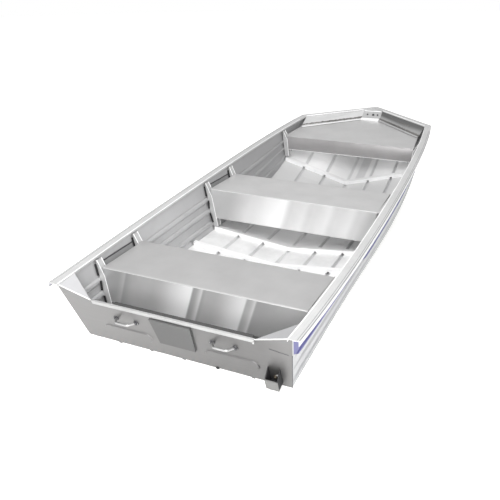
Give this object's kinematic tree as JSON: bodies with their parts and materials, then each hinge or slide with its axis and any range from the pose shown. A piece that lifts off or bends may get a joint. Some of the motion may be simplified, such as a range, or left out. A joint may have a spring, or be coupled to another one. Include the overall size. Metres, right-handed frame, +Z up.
{
  "type": "jon boat",
  "caption": "Open aluminium jon boat with a pointed shallow-V bow, cross benches, a raised bow deck and a notched transom for an outboard motor.",
  "frame": {"origin": "on the floor under the middle of the boat, midway between the gunwale's stern ends and the bow's tip", "axes": "+X forward to the bow, +Y to port, +Z up"},
  "size_m": [4.299, 1.5588, 0.655],
  "materials": {
    "hull_sheet": "mill finish sheet, blue stripe under the gunwale outside",
    "transom_sheet": "dull mill finish",
    "extrusion": "satin extrusion",
    "bench_sheet": "mill finish sheet",
    "frame_sheet": "mill finish sheet",
    "pad_grey": "moulded grey",
    "bright_rod": "bright",
    "bracket_black": "moulded black",
    "drain_brass": "dull"
  },
  "bodies": {
    "root": {"hull_bottom": "hull_sheet", "side_port": "hull_sheet", "side_starboard": "hull_sheet", "bow_plate_port": "hull_sheet", "bow_plate_starboard": "hull_sheet", "stem": "hull_sheet", "transom": "transom_sheet", "corner_gusset_port": "transom_sheet", "corner_gusset_starboard": "transom_sheet", "transom_cap": "extrusion", "gunwale_port": "extrusion", "gunwale_starboard": "extrusion", "bow_gunwale_port": "extrusion", "bow_gunwale_starboard": "extrusion", "breasthook": "extrusion", "stern_bench_top": "bench_sheet", "stern_bench_aft": "bench_sheet", "stern_bench_fore": "bench_sheet", "middle_bench_top": "bench_sheet", "middle_bench_aft": "bench_sheet", "middle_bench_fore": "bench_sheet", "bow_deck": "bench_sheet", "bow_deck_face": "bench_sheet", "nose_plate": "bench_sheet", "bow_liner_port": "bench_sheet", "bow_liner_starboard": "bench_sheet", "rib_1": "frame_sheet", "rib_2": "frame_sheet", "rib_3": "frame_sheet", "rib_4": "frame_sheet", "rib_5": "frame_sheet", "rib_6": "frame_sheet", "rib_7": "frame_sheet", "frame_1_port": "frame_sheet", "frame_1_starboard": "frame_sheet", "frame_2_port": "frame_sheet", "frame_2_starboard": "frame_sheet", "frame_3_port": "frame_sheet", "frame_3_starboard": "frame_sheet", "frame_4_port": "frame_sheet", "frame_4_starboard": "frame_sheet", "frame_5_port": "frame_sheet", "frame_5_starboard": "frame_sheet", "motor_pad": "pad_grey", "motor_board": "pad_grey", "handle_port": "bright_rod", "handle_starboard": "bright_rod", "bow_eye": "bright_rod", "sounder_plate": "bright_rod", "sounder_bracket": "bracket_black", "drain_plug": "drain_brass"}
  },
  "joints": []
}
